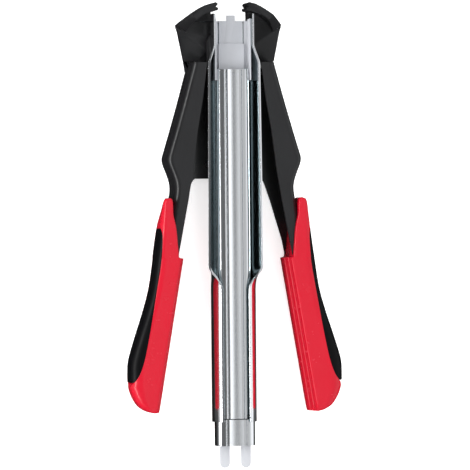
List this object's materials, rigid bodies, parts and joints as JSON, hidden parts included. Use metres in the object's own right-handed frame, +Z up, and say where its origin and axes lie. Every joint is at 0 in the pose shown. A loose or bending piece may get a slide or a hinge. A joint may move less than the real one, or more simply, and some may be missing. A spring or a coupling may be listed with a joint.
{
  "type": "staple gun",
  "caption": "Hand-squeezed fencing staple gun with a chromed magazine, a spring-fed pusher, closing jaws, black steel levers and red grips with soft black pads.",
  "frame": {"origin": "Centre of the underside of the tool's bounding box, as it lies on its back; the magazine's centre plane is X = 0.", "axes": "+X is across the handles to the right, +Y runs along the magazine from the release tabs to the jaws, +Z is up, out of the open side of the magazine."},
  "size_m": [0.12, 0.2596, 0.031],
  "materials": {
    "black_steel": "satin black coating, slightly soft edges",
    "plated_steel": "zinc plated, turned",
    "bright_chrome": "bright chrome plate on drawn sheet",
    "satin_steel": "bead-blasted, matte",
    "spring_steel": "oiled spring wire",
    "red_plastic": "hard moulded, semi-gloss",
    "black_rubber": "soft moulded, fine grain",
    "black_plastic": "moulded"
  },
  "bodies": {
    "frame": {"link_plate_rear": "black_steel", "link_plate_front": "black_steel", "jaw_axles": "plated_steel", "lever_axles": "plated_steel", "jaw_spacers": "plated_steel", "magazine_channel": "bright_chrome", "channel_rivets": "plated_steel", "mouth_guide": "satin_steel", "spring_post": "plated_steel", "return_spring": "spring_steel"},
    "lever_left": {"lever_left": "black_steel", "lever_bush_left": "plated_steel", "drive_pin_left": "plated_steel", "pin_clip_left": "spring_steel", "spring_stud_left": "plated_steel", "grip_left": "red_plastic", "grip_pad_left": "black_rubber"},
    "lever_right": {"lever_right": "black_steel", "lever_bush_right": "plated_steel", "drive_pin_right": "plated_steel", "pin_clip_right": "spring_steel", "spring_stud_right": "plated_steel", "grip_right": "red_plastic", "grip_pad_right": "black_rubber"},
    "jaw_left": {"jaw_left": "black_steel"},
    "jaw_right": {"jaw_right": "black_steel"},
    "drawer": {"magazine_rail": "bright_chrome", "tail_sleeve": "bright_chrome", "guide_rod": "plated_steel", "rod_nut": "plated_steel", "feed_spring": "spring_steel"},
    "pusher": {"pusher_plate": "satin_steel", "pusher_block": "satin_steel", "spring_follower": "black_plastic"},
    "release_tab_left": {"release_tab_left": "satin_steel"},
    "release_tab_right": {"release_tab_right": "satin_steel"}
  },
  "joints": [
    {"name": "lever_left_hinge", "type": "hinge", "parent": "frame", "child": "lever_left", "pos_m": [-0.007, 0.0667, 0.004], "axis": [0, 0, 1], "range_deg": [0, 9.5], "stiffness_Nm_per_rad": 1.5, "springref_deg": -20.05, "deforming": ["return_spring"]},
    {"name": "lever_right_hinge", "type": "hinge", "parent": "frame", "child": "lever_right", "pos_m": [0.007, 0.0667, 0.004], "axis": [0, 0, 1], "range_deg": [-9.5, 0], "stiffness_Nm_per_rad": 1.5, "springref_deg": 20.05},
    {"name": "jaw_left_hinge", "type": "hinge", "parent": "frame", "child": "jaw_left", "pos_m": [-0.007, 0.1056, 0.009], "axis": [0, 0, 1], "range_deg": [-19.95, 0]},
    {"name": "jaw_right_hinge", "type": "hinge", "parent": "frame", "child": "jaw_right", "pos_m": [0.007, 0.1056, 0.009], "axis": [0, 0, 1], "range_deg": [0, 19.95]},
    {"name": "drawer_slide", "type": "slide", "parent": "frame", "child": "drawer", "axis": [0, 1, 0], "range_m": [-0.09, 0]},
    {"name": "pusher_slide", "type": "slide", "parent": "drawer", "child": "pusher", "axis": [0, 1, 0], "range_m": [-0.185, 0], "stiffness_N_per_m": 20, "springref_m": 0.08, "deforming": ["feed_spring"]},
    {"name": "tab_left_press", "type": "hinge", "parent": "drawer", "child": "release_tab_left", "pos_m": [-0.00595, -0.1056, 0.021], "axis": [1, 0, 0], "range_deg": [0, 4], "stiffness_Nm_per_rad": 0.2, "springref_deg": -5.73},
    {"name": "tab_right_press", "type": "hinge", "parent": "drawer", "child": "release_tab_right", "pos_m": [0.00595, -0.1056, 0.021], "axis": [1, 0, 0], "range_deg": [0, 4], "stiffness_Nm_per_rad": 0.2, "springref_deg": -5.73}
  ],
  "couplings": [
    {"joint": "lever_right_hinge", "follows": "lever_left_hinge", "ratio": -1},
    {"joint": "jaw_left_hinge", "follows": "lever_left_hinge", "ratio": -2.1},
    {"joint": "jaw_right_hinge", "follows": "lever_left_hinge", "ratio": 2.1}
  ]
}
